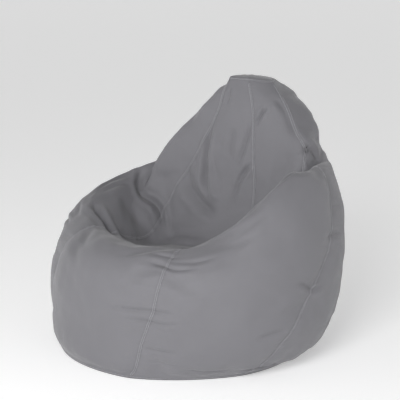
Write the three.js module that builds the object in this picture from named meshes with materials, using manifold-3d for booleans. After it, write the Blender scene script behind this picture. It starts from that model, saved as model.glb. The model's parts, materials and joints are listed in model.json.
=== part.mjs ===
// A bean bag chair: a six-gore cover with a hexagonal cap and base, a rear zip, a liner and its filling.
// Millimetres, +Z up. The chair faces -Y and stands on z = 0, left is -X.
import * as THREE from "three";
import { mergeVertices } from "three/addons/utils/BufferGeometryUtils.js";
import Module from "manifold-3d";

const wasm = await Module();
wasm.setup();
const { Manifold, Mesh } = wasm;

// Overall size. The ring profile below is scaled to these.
const CHAIR_WIDTH = 985;
const CHAIR_DEPTH = 890;
const CHAIR_HEIGHT = 872;

// Cloth and clearances between layers.
const FIT_GAP = 0.4;
const COVER_THICKNESS = 0.8;
// The gores at a seam stand further apart in thicker cloth, because their inner faces lean together.
const SEAM_GAP = FIT_GAP + 0.7 * COVER_THICKNESS;
const LINER_THICKNESS = 0.5;
const LINER_SLACK = 4.5;
const FELL_WIDTH = 9;
const FELL_THICKNESS = 0.8;
const CAP_DOME = 9;
const COLUMNS_PER_GORE = 4;

// Rear zip, on an arc about an axis along X so that the slider can follow it.
const ZIP_RADIUS = 800;
const ZIP_TAPE_WIDTH = 15;
const ZIP_TAPE_THICKNESS = 0.6;
const ZIP_TAPE_RUN_ON = 12;
const COIL_WIDTH = 2.3;
const COIL_THICKNESS = 1.8;
const COIL_TEETH = 32;
const CENTRE_SLOT = 0.7;
const SLIDER_WALL = 1;
const SLIDER_HALF = CENTRE_SLOT + COIL_WIDTH + FIT_GAP + SLIDER_WALL;
const SLIDER_CLEARANCE = 1.1;
const ZIP_WINDOW = 2 * (SLIDER_HALF + SLIDER_CLEARANCE);
const STOP_LENGTH = 4;
const SLIDER_LENGTH = 12;
const SLIDER_PLATE = 1.2;
const BAIL_HEIGHT = 3.3;
const BAIL_BAR_RADIUS = 0.8;
const PULL_LENGTH = 34;
const PULL_THICKNESS = 1.3;

// Rings of the bag from the floor up the outside, over the seat rim and up the backrest to the cap.
// Left and right half width, y of the widest place, y front and back, z front, left, right and back.
const RINGS = [
  [460, 348, 0, -398, 330, 2, 2, 2, 2], // base edge
  [474, 405, 0, -405, 392, 40, 40, 45, 50], // foot
  [502, 452, 0, -412, 440, 125, 125, 130, 140], // low belly
  [520, 465, 20, -415, 470, 230, 230, 250, 250], // belly
  [510, 465, 40, -400, 475, 320, 325, 380, 360], // high belly
  [492, 440, 70, -360, 470, 375, 412, 510, 460], // shoulder
  [447, 400, 100, -290, 465, 400, 490, 602, 550], // rim
  [397, 365, 130, -200, 460, 370, 493, 618, 610], // inside of the rim
  [364, 342, 150, -100, 460, 320, 462, 596, 655], // slope into the hollow
  [340, 322, 165, 20, 455, 300, 448, 575, 690], // hollow
  [326, 314, 172, 120, 450, 350, 500, 605, 725], // root of the backrest
  [292, 304, 186, 165, 445, 480, 575, 662, 755], // low backrest
  [226, 258, 210, 185, 440, 620, 660, 710, 795], // middle of the backrest
  [126, 190, 258, 210, 420, 770, 780, 790, 825], // high backrest
  [65, 100, 310, 240, 380, 872, 868, 862, 862], // cap edge
];
const TOP = RINGS.length - 1;
const SCALE = [CHAIR_WIDTH / 985, CHAIR_DEPTH / 890, CHAIR_HEIGHT / 872];
// How far the lower rings are pulled round to the left front, and how hexagonal each ring is.
const SKEW = [0.2, 0.17, 0.1, 0.05].concat(Array(TOP - 3).fill(0));
const HEXAGON = [0.45, 0].concat(Array(TOP - 3).fill(0), [0.25, 1]);
// Turn of the seams round the bag at each ring, degrees. The rear seam runs straight up along the zip.
const SEAM_TURN = [2, 4, 10, 16, 20, 23, 24, 24, 22, 20, 18, 18, 18, 18, 18];
const FRONT_SEAM_TURN = [5, 8, 11, 16, 18, 19, 20, 20, 21, 21, 21, 22, 22, 24, 22];
const RIGHT_SEAM_TURN = [-2, 1, 9, 20, 32, 37, 36, 32, 26, 21, 19, 18, 18, 19, 20];
const LEFT_SEAM_TURN = [2, 4, 10, 16, 20, 23, 24, 24, 20, 14, 10, 16, 26, 29, 20];
const REAR_LEFT_SEAM_TURN = [2, 4, 10, 16, 20, 22, 19, 14, 9, 6, 6, 9, 13, 16, 18];
const REAR_SEAM_TURN = [0, 0, 0, 0, 0, 0, 0, 0, 2, 5, 9, 13, 16, 18, 18];
const SEAMS = [
  { name: "front", base: 0, turn: FRONT_SEAM_TURN },
  { name: "front_right", base: 60, turn: RIGHT_SEAM_TURN },
  { name: "rear_right", base: 120, turn: SEAM_TURN },
  { name: "rear", base: 180, turn: REAR_SEAM_TURN },
  { name: "rear_left", base: 240, turn: REAR_LEFT_SEAM_TURN },
  { name: "front_left", base: 300, turn: LEFT_SEAM_TURN },
];
const REAR = 3;
const GORES = ["front_right", "right", "rear_right", "rear_left", "left", "front_left"];

// Rows of the tessellation. The zip runs between two of them.
const ZIP_FROM = 1.5;
const ZIP_TO = 5.5;
const BASE_BAND = [0.03, 0.23];
const CAP_BAND = [13.88, 13.98];
const FELL_FROM = BASE_BAND[1] + 0.04;
const FELL_TO = CAP_BAND[0] - 0.03;
const ROWS = [0, ...BASE_BAND, 0.75, 1.1, 1.5, 2, 2.5, 3, 3.5, 4, 4.5, 5, 5.5, 6, 6.5, 7, 7.5, 8];
ROWS.push(8.7, 9.4, 10, 10.6, 11.3, 12, 12.7, 13.4, ...CAP_BAND, 14);

const rad = THREE.MathUtils.degToRad;
const step = THREE.MathUtils.smoothstep;
const lerp = THREE.MathUtils.lerp;
const vec = (x, y, z) => new THREE.Vector3(x, y, z);
const mix = (a, b, f) => a.clone().lerp(b, f);

function ramp(list, t) {
  const i = Math.min(Math.floor(t), list.length - 2);
  return lerp(list[i], list[i + 1], t - i);
}

// A point on ring i at angle a: 0 is the front, a quarter turn is the right.
function ringPoint(i, a) {
  const [left, right, middle, front, back, zFront, zLeft, zRight, zBack] = RINGS[i];
  const c = Math.cos(a);
  const s = Math.sin(a);
  const away = THREE.MathUtils.radToDeg(Math.acos(THREE.MathUtils.clamp(c, -1, 1)));
  const zSide = s > 0 ? zRight : zLeft;
  const toSide = s > 0 ? step(away, 20, 74) : step(away, 30, 85);
  const x = (s > 0 ? right : left) * s;
  const pull = 1 - SKEW[i] * s;
  const y = c > 0 ? middle + (front - middle) * c * pull : middle - (back - middle) * c;
  const z = zFront + (zSide - zFront) * toSide + (zBack - zSide) * step(away, 75, 150);
  return vec(x * SCALE[0], y * SCALE[1], z * SCALE[2]);
}

// The bag before the zip is let in: a curve through the rings at each angle.
function bagPoint(a, t) {
  const i = Math.min(Math.floor(t), TOP - 1);
  const f = t - i;
  const p1 = ringPoint(i, a);
  const p2 = ringPoint(i + 1, a);
  const p0 = i > 0 ? ringPoint(i - 1, a) : p1.clone().multiplyScalar(2).sub(p2);
  const p3 = i + 2 <= TOP ? ringPoint(i + 2, a) : p2.clone().multiplyScalar(2).sub(p1);
  const w = [-f + 2 * f * f - f ** 3, 2 - 5 * f * f + 3 * f ** 3];
  w.push(f + 4 * f * f - 3 * f ** 3, -f * f + f ** 3);
  const p = vec(0, 0, 0);
  [p0, p1, p2, p3].forEach((q, j) => p.addScaledVector(q, w[j] / 2));
  return p;
}

const ZIP_MIDDLE = bagPoint(Math.PI, (ZIP_FROM + ZIP_TO) / 2);
const ZIP_AXIS_Y = ZIP_MIDDLE.y - ZIP_RADIUS;
const ZIP_AXIS_Z = ZIP_MIDDLE.z;
const ZIP_BED = ZIP_WINDOW / 2 + ZIP_TAPE_WIDTH;
const zipAngle = (t) => Math.asin((bagPoint(Math.PI, t).z - ZIP_AXIS_Z) / ZIP_RADIUS);

// The bag with the strip under the zip laid onto the zip's arc.
function skin(a, t) {
  const p = bagPoint(a, t);
  if (Math.cos(a) > 0) return p;
  const along = step(t, 0.4, 1.1) * (1 - step(t, 6.05, 7.2));
  const across = 1 - step(Math.abs(p.x), ZIP_BED + 10, ZIP_BED + 110);
  const dz = THREE.MathUtils.clamp(p.z - ZIP_AXIS_Z, -0.6 * ZIP_RADIUS, 0.6 * ZIP_RADIUS);
  const onArc = ZIP_AXIS_Y + Math.sqrt(ZIP_RADIUS ** 2 - dz ** 2);
  p.y = lerp(p.y, onArc, along * across);
  return p;
}

// The direction that thickness is measured in. It is taken over a wide step, so it turns gently in the creases.
function normal(a, t, wideTurn = 0.08) {
  const wideRow = 0.5;
  const round = skin(a + wideTurn, t).sub(skin(a - wideTurn, t));
  const up = skin(a, Math.min(t + wideRow, TOP)).sub(skin(a, Math.max(t - wideRow, 0)));
  return round.cross(up).normalize();
}

const seamAngle = (k, t) => rad(SEAMS[k % 6].base + ramp(SEAMS[k % 6].turn, t)) + (k > 5 ? 2 * Math.PI : 0);

// Angle that moves a point sideways by a distance in mm along its ring.
function sideways(a, t, mm) {
  const h = 0.004;
  return (mm * 2 * h) / skin(a + h, t).distanceTo(skin(a - h, t));
}

// A point of gore k: the ring curve, pressed towards the chord between its seams near the cap and the base.
function gorePoint(k, a, t) {
  const from = seamAngle(k, t);
  const to = seamAngle(k + 1, t);
  const chord = mix(skin(from, t), skin(to, t), (a - from) / (to - from));
  return mix(skin(a, t), chord, ramp(HEXAGON, t));
}

// Width of the narrow column that carries the fell beside seam k.
const hemWidth = (k) => (k % 6 === REAR ? ZIP_WINDOW / 2 + 4 : FELL_WIDTH / 2 + 1.5);

// Columns of gore k at t, edges left out. Beside the zip two extra columns keep its bed flat.
function innerAngles(k, t, hems) {
  let from = seamAngle(k, t);
  let to = seamAngle(k + 1, t);
  const near = [];
  const far = [];
  if (hems) near.push(from + sideways(from, t, hemWidth(k)));
  if (hems) far.push(to - sideways(to, t, hemWidth(k + 1)));
  const bed = [ZIP_BED + 2, ZIP_BED + 18];
  if (k === REAR) bed.forEach((mm) => near.push(from + sideways(from, t, mm)));
  if (k + 1 === REAR) bed.forEach((mm) => far.unshift(to - sideways(to, t, mm)));
  if (k === REAR) from = near.at(-1);
  if (k + 1 === REAR) to = far[0];
  const even = [];
  for (let i = 1; i < COLUMNS_PER_GORE; i++) even.push(lerp(from, to, i / COLUMNS_PER_GORE));
  return [...near, ...even, ...far];
}

// Half the distance between the two gores at seam k.
function halfSlot(k, t) {
  if (k % 6 === REAR && t > ZIP_FROM - 0.01 && t < ZIP_TO + 0.01) return ZIP_WINDOW / 2;
  return SEAM_GAP / 2;
}

// One row of points over gores from k to the one before `end`, at a depth under the skin.
function rowPoints(k, end, t, depth, slot) {
  const points = [];
  const hems = depth <= COVER_THICKNESS;
  for (let g = k; g < end; g++) {
    const from = seamAngle(g, t) + (g === k ? sideways(seamAngle(g, t), t, slot(g, t)) : 0);
    const angles = [from, ...innerAngles(g, t, hems)];
    if (g === end - 1) angles.push(seamAngle(end, t) - sideways(seamAngle(end, t), t, slot(end, t)));
    for (const a of angles) {
      points.push(gorePoint(g, a, t).addScaledVector(normal(a, t, hems ? 0.08 : 0.25), -depth));
    }
  }
  return points;
}

function geometryOf(triangles) {
  const flat = [];
  for (const tri of triangles) for (const p of tri) flat.push(p.x, p.y, p.z);
  const geometry = new THREE.BufferGeometry();
  geometry.setAttribute("position", new THREE.Float32BufferAttribute(flat, 3));
  geometry.computeVertexNormals();
  return geometry;
}

function quad(out, a, b, c, d) {
  out.push([a, b, c], [a, c, d]);
}

// A closed sheet between two grids of points, the first one facing out.
function sheet(outer, inner, closed = false) {
  const tris = [];
  const rows = outer.length;
  const n = outer[0].length;
  const last = closed ? n : n - 1;
  for (let j = 0; j < last; j++) {
    const k = (j + 1) % n;
    for (let i = 0; i + 1 < rows; i++) {
      quad(tris, outer[i][j], outer[i][k], outer[i + 1][k], outer[i + 1][j]);
      quad(tris, inner[i][j], inner[i + 1][j], inner[i + 1][k], inner[i][k]);
    }
    quad(tris, inner[0][j], inner[0][k], outer[0][k], outer[0][j]);
    quad(tris, outer[rows - 1][j], outer[rows - 1][k], inner[rows - 1][k], inner[rows - 1][j]);
  }
  if (closed) return geometryOf(tris);
  for (let i = 0; i + 1 < rows; i++) {
    quad(tris, inner[i][0], outer[i][0], outer[i + 1][0], inner[i + 1][0]);
    quad(tris, outer[i][n - 1], inner[i][n - 1], inner[i + 1][n - 1], outer[i + 1][n - 1]);
  }
  return geometryOf(tris);
}

// A closed disc on an outline: the middle of its upper face is raised by `dome`.
function disc(low, high, dome) {
  const tris = [];
  const centre = (ring) => ring.reduce((s, p) => s.add(p), vec(0, 0, 0)).divideScalar(ring.length);
  const under = centre(low).add(vec(0, 0, dome));
  const over = centre(high).add(vec(0, 0, dome));
  low.forEach((p, j) => {
    const k = (j + 1) % low.length;
    tris.push([over, high[j], high[k]], [under, low[k], p]);
    quad(tris, p, low[k], high[k], high[j]);
  });
  return geometryOf(tris);
}

const group = new THREE.Group();
const CLOTH = { color: 0x85858a, roughness: 0.8 };
const CLOTH_FELL = { color: 0x7d7d82, roughness: 0.8 };
const LINER = { color: 0xe9e7e0, roughness: 0.85 };
const BEADS = { color: 0xf6f6f4, roughness: 0.7 };
const TAPE = { color: 0x5e5e63, roughness: 0.8 };
const COIL = { color: 0x4c4c50, roughness: 0.45 };
const METAL = { color: 0x9a9ca0, roughness: 0.35, metalness: 0.9 };

function add(name, geometry, look) {
  const mesh = new THREE.Mesh(geometry, new THREE.MeshStandardMaterial(look));
  mesh.name = name;
  group.add(mesh);
}

function coverGore(k) {
  const outer = ROWS.map((t) => rowPoints(k, k + 1, t, 0, halfSlot));
  const inner = ROWS.map((t) => rowPoints(k, k + 1, t, COVER_THICKNESS, halfSlot));
  return sheet(outer, inner);
}

function ringOutline(t, depth, rise) {
  return rowPoints(0, 6, t, depth, () => 0).slice(0, -1).map((p) => p.add(vec(0, 0, rise)));
}

function coverCap() {
  return disc(ringOutline(TOP, 0, FIT_GAP), ringOutline(TOP, 0, FIT_GAP + COVER_THICKNESS), CAP_DOME);
}

function flatPanel(outline, low, high) {
  const at = (z) => outline.map((p) => vec(p.x, p.y, z));
  return disc(at(low), at(high), 0);
}

// The folded allowance over seam k: it lies on the flat facets either side of the seam.
function seamFell(k, from, to) {
  const top = [];
  const bottom = [];
  for (const t of [from, ...ROWS.filter((r) => r > from && r < to), to]) {
    const { left, centre, right, up } = seamSection(k, t);
    bottom.push([left, centre, right].map((p) => p.clone().addScaledVector(up, FIT_GAP)));
    top.push([left, centre, right].map((p) => p.clone().addScaledVector(up, FIT_GAP + FELL_THICKNESS)));
  }
  return sheet(top, bottom);
}

// Where seam k and the edges of its fell lie at t, between two rows on the straight lines that join them.
function seamSection(k, t) {
  const above = Math.max(1, ROWS.findIndex((r) => r >= t));
  const f = (t - ROWS[above - 1]) / (ROWS[above] - ROWS[above - 1]);
  const [a, b] = [ROWS[above - 1], ROWS[above]].map((row) => {
    const angle = seamAngle(k, row);
    const centre = gorePoint(k, angle, row);
    const before = (k + 5) % 6;
    const toLeft = gorePoint(before, innerAngles(before, row, true).at(-1), row).sub(centre);
    const toRight = gorePoint(k, innerAngles(k, row, true)[0], row).sub(centre);
    const left = centre.clone().addScaledVector(toLeft.normalize(), FELL_WIDTH / 2);
    const right = centre.clone().addScaledVector(toRight.normalize(), FELL_WIDTH / 2);
    return { left, centre, right, up: normal(angle, row) };
  });
  const part = (key) => mix(a[key], b[key], f);
  return { left: part("left"), centre: part("centre"), right: part("right"), up: part("up").normalize() };
}

// A band of cloth round the bag between two rows, lying on the facets.
function edgeBand([from, to]) {
  const ring = (t, lift) => rowPoints(0, 6, t, -lift, () => 0).slice(0, -1);
  const grid = (lift) => [ring(from, lift), ring(to, lift)];
  return sheet(grid(FIT_GAP + FELL_THICKNESS), grid(FIT_GAP), true);
}

// The liner and the filling are plainer, so they take fewer rows.
const LOOSE_ROWS = ROWS.filter((t) => t < 0.01 || t > 13.99 || (t > 5.9 && t < 10.3) || isLooseRow(t));

function isLooseRow(t) {
  return [0.75, 1.5, 2.5, 3.5, 4.5, 5.5, 10.6, 11.3, 12, 12.7, 13.4].includes(t);
}

const LINER_DEPTH = COVER_THICKNESS + LINER_SLACK;
const FILLING_DEPTH = LINER_DEPTH + LINER_THICKNESS + 6 * FIT_GAP;

function linerPanel(k) {
  const slot = () => SEAM_GAP / 2;
  const outer = LOOSE_ROWS.map((t) => rowPoints(k, k + 2, t, LINER_DEPTH, slot));
  const inner = LOOSE_ROWS.map((t) => rowPoints(k, k + 2, t, LINER_DEPTH + LINER_THICKNESS, slot));
  return sheet(outer, inner);
}

function linerTop() {
  const depth = LINER_DEPTH + LINER_THICKNESS + FIT_GAP;
  return disc(ringOutline(TOP, depth, -LINER_THICKNESS), ringOutline(TOP, depth, 0), CAP_DOME * 0.6);
}

function linerBase() {
  const outline = ringOutline(0, 3, 0);
  const low = COVER_THICKNESS + FIT_GAP;
  return flatPanel(outline, low, low + LINER_THICKNESS * 0.8);
}

function filling() {
  const rows = LOOSE_ROWS.map((t) => rowPoints(0, 6, t, FILLING_DEPTH, () => 0).slice(0, -1));
  rows[rows.length - 1].forEach((p) => p.add(vec(0, 0, -2.5)));
  const tris = [];
  const n = rows[0].length;
  const middle = (ring) => ring.reduce((s, p) => s.add(p), vec(0, 0, 0)).divideScalar(n);
  const under = middle(rows[0]);
  const over = middle(rows.at(-1));
  for (let j = 0; j < n; j++) {
    const k = (j + 1) % n;
    for (let i = 0; i + 1 < rows.length; i++) {
      quad(tris, rows[i][j], rows[i][k], rows[i + 1][k], rows[i + 1][j]);
    }
    tris.push([under, rows[0][k], rows[0][j]], [over, rows.at(-1)[j], rows.at(-1)[k]]);
  }
  return geometryOf(tris);
}

// Zip pieces are laid out in x, height over the cover's skin, and distance s along the arc.
const ZIP_START = zipAngle(ZIP_FROM) * ZIP_RADIUS;
const ZIP_END = zipAngle(ZIP_TO) * ZIP_RADIUS;
const TAPE_TOP = -COVER_THICKNESS - FIT_GAP;
const TAPE_UNDER = TAPE_TOP - ZIP_TAPE_THICKNESS;
const COIL_UNDER = TAPE_TOP + 0.3;
const COIL_TOP = COIL_UNDER + COIL_THICKNESS;
const COIL_MARGIN = STOP_LENGTH + 2;

function onZip(x, h, s) {
  const r = ZIP_RADIUS + h;
  return vec(x, ZIP_AXIS_Y + r * Math.cos(s / ZIP_RADIUS), ZIP_AXIS_Z + r * Math.sin(s / ZIP_RADIUS));
}

// A bar along the arc through the stations given.
function zipBar(x0, x1, h0, h1, stations) {
  // Seen from behind, +X is on the left, so the columns run from the larger x to the smaller.
  const outer = stations.map((s) => [onZip(x1, h1, s), onZip(x0, h1, s)]);
  const inner = stations.map((s) => [onZip(x1, h0, s), onZip(x0, h0, s)]);
  return sheet(outer, inner);
}

function zipTape(side) {
  const inside = CENTRE_SLOT;
  const outside = ZIP_WINDOW / 2 + ZIP_TAPE_WIDTH - 4;
  const rows = ROWS.filter((t) => t >= ZIP_FROM && t <= ZIP_TO).map((t) => zipAngle(t) * ZIP_RADIUS);
  const stations = [ZIP_START - ZIP_TAPE_RUN_ON, ...rows, ZIP_END + ZIP_TAPE_RUN_ON];
  const [x0, x1] = side > 0 ? [inside, outside] : [-outside, -inside];
  return zipBar(x0, x1, TAPE_UNDER, TAPE_TOP, stations);
}

// A row of teeth on a continuous root. The other side's teeth stand half a pitch further on.
function zipTeeth(side) {
  const from = ZIP_START + COIL_MARGIN;
  const to = ZIP_END - COIL_MARGIN;
  const half = (to - from) / (2 * COIL_TEETH);
  const tip = CENTRE_SLOT;
  const root = CENTRE_SLOT + COIL_WIDTH * 0.45;
  const back = CENTRE_SLOT + COIL_WIDTH;
  const isTooth = (i) => i % 2 === (side > 0 ? 0 : 1);
  const tris = [];
  // Corners of one face: `q` mirrors the piece to the left without turning it inside out.
  const p = (x, h, s) => onZip(x * side, h, s);
  const q = (a, b, c, d) => (side > 0 ? quad(tris, a, b, c, d) : quad(tris, a, d, c, b));
  for (let i = 0; i < 2 * COIL_TEETH; i++) {
    const s0 = from + i * half;
    const s1 = s0 + half;
    const strips = isTooth(i) ? [[root, back], [tip, root]] : [[root, back]];
    for (const [a, b] of strips) {
      q(p(b, COIL_TOP, s0), p(a, COIL_TOP, s0), p(a, COIL_TOP, s1), p(b, COIL_TOP, s1));
      q(p(a, COIL_UNDER, s0), p(b, COIL_UNDER, s0), p(b, COIL_UNDER, s1), p(a, COIL_UNDER, s1));
    }
    const face = isTooth(i) ? tip : root;
    q(p(back, COIL_UNDER, s0), p(back, COIL_TOP, s0), p(back, COIL_TOP, s1), p(back, COIL_UNDER, s1));
    q(p(face, COIL_TOP, s0), p(face, COIL_UNDER, s0), p(face, COIL_UNDER, s1), p(face, COIL_TOP, s1));
    if (!isTooth(i)) continue;
    if (i > 0) {
      q(p(root, COIL_UNDER, s0), p(tip, COIL_UNDER, s0), p(tip, COIL_TOP, s0), p(root, COIL_TOP, s0));
    }
    if (i < 2 * COIL_TEETH - 1) {
      q(p(tip, COIL_UNDER, s1), p(root, COIL_UNDER, s1), p(root, COIL_TOP, s1), p(tip, COIL_TOP, s1));
    }
  }
  closeRowEnd(q, p, from, isTooth(0), tip, root, back, true);
  closeRowEnd(q, p, to, isTooth(2 * COIL_TEETH - 1), tip, root, back, false);
  return geometryOf(tris);
}

function closeRowEnd(q, p, s, tooth, tip, root, back, first) {
  const spans = tooth ? [[tip, root], [root, back]] : [[root, back]];
  for (const [a, b] of spans) {
    if (first) q(p(b, COIL_UNDER, s), p(a, COIL_UNDER, s), p(a, COIL_TOP, s), p(b, COIL_TOP, s));
    else q(p(a, COIL_UNDER, s), p(b, COIL_UNDER, s), p(b, COIL_TOP, s), p(a, COIL_TOP, s));
  }
}

function zipTopStop(side) {
  const s = ZIP_END - STOP_LENGTH - 1;
  const [a, b] = [CENTRE_SLOT + 0.2, CENTRE_SLOT + COIL_WIDTH + 0.5];
  const [x0, x1] = side > 0 ? [a, b] : [-b, -a];
  return zipBar(x0, x1, COIL_UNDER, COIL_TOP + 0.3, [s, s + STOP_LENGTH]);
}

function zipBottomStop() {
  const half = CENTRE_SLOT + COIL_WIDTH + 0.5;
  const s = ZIP_START + 1;
  return zipBar(-half, half, COIL_UNDER, COIL_TOP + 0.3, [s, s + STOP_LENGTH]);
}

// A three.js geometry as a solid that can be joined and cut.
function solid(geometry) {
  geometry.deleteAttribute("normal");
  geometry.deleteAttribute("uv");
  const merged = mergeVertices(geometry, 1e-4);
  const vertProperties = new Float32Array(merged.attributes.position.array);
  return new Manifold(new Mesh({ numProp: 3, vertProperties, triVerts: new Uint32Array(merged.index.array) }));
}

// Boxes and bars of the slider and its pull, in a frame with x across, y out of the cover and z along the zip.
function box(x0, x1, y0, y1, z0, z1) {
  const geometry = new THREE.BoxGeometry(x1 - x0, y1 - y0, z1 - z0);
  return solid(geometry.translate((x0 + x1) / 2, (y0 + y1) / 2, (z0 + z1) / 2));
}

function barAlongX(radius, x0, x1, y) {
  const geometry = new THREE.CylinderGeometry(radius, radius, x1 - x0, 16);
  return solid(geometry.rotateZ(Math.PI / 2).translate((x0 + x1) / 2, y, 0));
}

const join = (pieces) => pieces.reduce((whole, piece) => whole.add(piece));

const TOP_PLATE = COIL_TOP + FIT_GAP;
const BOTTOM_PLATE = TAPE_UNDER - 0.7;
const BAIL_Y = TOP_PLATE + SLIDER_PLATE + BAIL_HEIGHT;
const EYE_RADIUS = BAIL_BAR_RADIUS + 0.35 + 0.9;

function sliderSolid() {
  const h = SLIDER_LENGTH / 2;
  const w = SLIDER_HALF;
  const plate = box(-w, w, TOP_PLATE, TOP_PLATE + SLIDER_PLATE, -h, h);
  const under = box(-w, w, BOTTOM_PLATE - SLIDER_PLATE, BOTTOM_PLATE, -h, h);
  const web = box(-0.35, 0.35, BOTTOM_PLATE - 0.1, TOP_PLATE + 0.1, h - 5, h);
  const flanges = [-1, 1].map((side) => {
    const [a, b] = side > 0 ? [w - SLIDER_WALL, w] : [-w, SLIDER_WALL - w];
    return box(a, b, COIL_UNDER + 0.1, TOP_PLATE + 0.1, -h, h);
  });
  const legs = [-1, 1].map((side) => {
    const [a, b] = side > 0 ? [w - SLIDER_WALL, w] : [-w, SLIDER_WALL - w];
    return box(a, b, TOP_PLATE + SLIDER_PLATE - 0.1, BAIL_Y + 1.2, -1.4, 1.4);
  });
  const bar = barAlongX(BAIL_BAR_RADIUS, -w + 0.2, w - 0.2, BAIL_Y);
  return join([plate, under, web, ...flanges, ...legs, bar]);
}

function pullSolid() {
  const w = SLIDER_HALF - SLIDER_WALL - 0.35;
  const eye = barAlongX(EYE_RADIUS, -w, w, BAIL_Y);
  const hole = barAlongX(BAIL_BAR_RADIUS + 0.35, -w - 1, w + 1, BAIL_Y);
  const t = PULL_THICKNESS / 2;
  const neck = box(-w, w, BAIL_Y - t, BAIL_Y + t, -6, -BAIL_BAR_RADIUS - 0.6);
  const blade = box(-w - 1.6, w + 1.6, BAIL_Y - t, BAIL_Y + t, -PULL_LENGTH, -5);
  const window = box(-w + 0.6, w - 0.6, BAIL_Y - 3, BAIL_Y + 3, -PULL_LENGTH + 3, -PULL_LENGTH + 15);
  return join([eye, neck, blade]).subtract(hole).subtract(window);
}

// Moves a solid from the slider's frame to distance s along the zip.
function placeOnZip(solid, s) {
  const mesh = solid.getMesh();
  const n = mesh.numProp;
  const turn = s / ZIP_RADIUS;
  const at = (i) => {
    const [x, y, z] = mesh.vertProperties.slice(i * n, i * n + 3);
    const p = vec(x, y + ZIP_RADIUS, z).applyAxisAngle(vec(1, 0, 0), turn);
    return p.add(vec(0, ZIP_AXIS_Y, ZIP_AXIS_Z));
  };
  const tris = [];
  for (let i = 0; i < mesh.triVerts.length; i += 3) tris.push([0, 1, 2].map((j) => at(mesh.triVerts[i + j])));
  return geometryOf(tris);
}

const SLIDER_AT = ZIP_END - STOP_LENGTH - 1 - 0.6 - SLIDER_LENGTH / 2;

for (let k = 0; k < 6; k++) add("cover_gore_" + GORES[k], coverGore(k), CLOTH);
add("cover_top_cap", coverCap(), CLOTH);
add("cover_base_panel", flatPanel(ringOutline(0, 0, 0), 0, COVER_THICKNESS), CLOTH);
for (let k = 0; k < 6; k++) {
  if (k !== REAR) add("seam_fell_" + SEAMS[k].name, seamFell(k, FELL_FROM, FELL_TO), CLOTH_FELL);
}
add("seam_fell_rear_lower", seamFell(REAR, FELL_FROM, ZIP_FROM - 0.06), CLOTH_FELL);
add("seam_fell_rear_upper", seamFell(REAR, ZIP_TO + 0.1, FELL_TO), CLOTH_FELL);
add("seam_band_base", edgeBand(BASE_BAND), CLOTH_FELL);
add("seam_band_cap", edgeBand(CAP_BAND), CLOTH_FELL);
for (const k of [0, 2, 4]) add("liner_panel_" + ["front_right", "rear", "left"][k / 2], linerPanel(k), LINER);
add("liner_top", linerTop(), LINER);
add("liner_base", linerBase(), LINER);
add("bead_filling", filling(), BEADS);
add("zip_tape_left", zipTape(-1), TAPE);
add("zip_tape_right", zipTape(1), TAPE);
add("zip_teeth_left", zipTeeth(-1), COIL);
add("zip_teeth_right", zipTeeth(1), COIL);
add("zip_top_stop_left", zipTopStop(-1), METAL);
add("zip_top_stop_right", zipTopStop(1), METAL);
add("zip_bottom_stop", zipBottomStop(), METAL);
add("zip_slider", placeOnZip(sliderSolid(), SLIDER_AT), METAL);
add("zip_pull", placeOnZip(pullSolid(), SLIDER_AT), METAL);

export default group;
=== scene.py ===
"""A bean bag chair: a cover of six sewn gores with a cap and a base, a rear zip, a liner and its filling.

Metres, +Z up. The chair faces -Y and stands on z = 0. The cover is one surface in two numbers: a, the turn
round the bag (0 is the front, a quarter turn is the right), and t, which climbs from the base edge (0) up
the outside, over the rim, through the seat and up the backrest to the cap (14).
"""
import json
import math

import bpy
import numpy as np
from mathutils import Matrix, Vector


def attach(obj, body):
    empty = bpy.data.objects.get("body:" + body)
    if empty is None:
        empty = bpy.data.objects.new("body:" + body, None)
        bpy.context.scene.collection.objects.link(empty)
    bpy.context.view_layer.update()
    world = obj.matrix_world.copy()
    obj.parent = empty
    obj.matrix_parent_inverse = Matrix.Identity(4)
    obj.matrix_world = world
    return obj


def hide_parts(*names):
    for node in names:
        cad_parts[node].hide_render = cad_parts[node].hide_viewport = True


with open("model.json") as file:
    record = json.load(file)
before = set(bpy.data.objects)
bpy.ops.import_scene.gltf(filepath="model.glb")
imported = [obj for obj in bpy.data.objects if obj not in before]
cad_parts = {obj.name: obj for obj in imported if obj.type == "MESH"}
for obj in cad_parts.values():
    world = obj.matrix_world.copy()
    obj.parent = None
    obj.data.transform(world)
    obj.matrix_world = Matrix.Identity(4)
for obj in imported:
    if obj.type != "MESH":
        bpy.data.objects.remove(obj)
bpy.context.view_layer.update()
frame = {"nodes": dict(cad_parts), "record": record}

MM = 0.001

# ---------------------------------------- sizes
COVER_THICKNESS = 0.8 * MM
SEAM_GAP = 0.9 * MM
FELL_WIDTH = 9 * MM
FELL_THICKNESS = 0.8 * MM
CAP_DOME = 9 * MM
STITCH_PITCH = 4.6 * MM
STITCH_LENGTH = 3.3 * MM
STITCH_RADIUS = 0.42 * MM
STITCH_FROM_SEAM = 2.9 * MM
STITCH_END_MARGIN = 3 * MM
LINER_DEPTH = 11 * MM
LINER_THICKNESS = 0.5 * MM
LINER_SLIT = 1 * MM
LINER_OVER_FLOOR = 1.6 * MM
FILLING_DEPTH = 18 * MM
FILLING_OVER_FLOOR = 3.2 * MM
BASE_OVER_FLOOR = 0.1 * MM

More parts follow.
